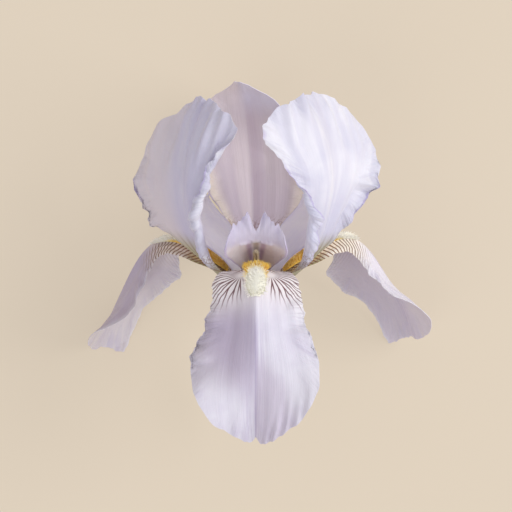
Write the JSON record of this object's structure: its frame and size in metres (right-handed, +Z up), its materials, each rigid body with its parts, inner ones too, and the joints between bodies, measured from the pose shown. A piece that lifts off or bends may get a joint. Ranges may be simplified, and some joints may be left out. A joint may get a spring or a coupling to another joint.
{
  "type": "iris flower",
  "caption": "Open bearded iris flower as picked, lying on its back: upright standards, arched hanging falls with beards, crested style arms, stamens, perianth tube and ovary.",
  "frame": {"origin": "bottom centre of the flower's box, on the table that it lies on", "axes": "+Z up from the table and out of the open flower, +Y along the flower's axis from the cut stalk toward the tips of the standards, +X to the right of one who looks down on it"},
  "size_m": [0.124, 0.1263, 0.0891],
  "materials": {
    "fall_petal": "soft translucent petal, pale lavender with brown veins on the haft",
    "standard_petal": "soft translucent petal, near-white lavender",
    "style_petal": "soft petal, pale violet with a mauve underside",
    "beard_hair": "soft hairs, cream at the tip and orange-yellow in the throat",
    "pollen": "matt, olive-yellow",
    "green_stalk": "smooth waxy green skin"
  },
  "bodies": {
    "root": {"ovary_and_tube": "green_stalk", "fall_front": "fall_petal", "fall_left": "fall_petal", "fall_right": "fall_petal", "beard_front": "beard_hair", "beard_left": "beard_hair", "beard_right": "beard_hair", "standard_left": "standard_petal", "standard_right": "standard_petal", "standard_back": "standard_petal", "style_arm_front": "style_petal", "style_arm_left": "style_petal", "style_arm_right": "style_petal", "stamen_front": "pollen", "stamen_left": "pollen", "stamen_right": "pollen"}
  },
  "joints": []
}
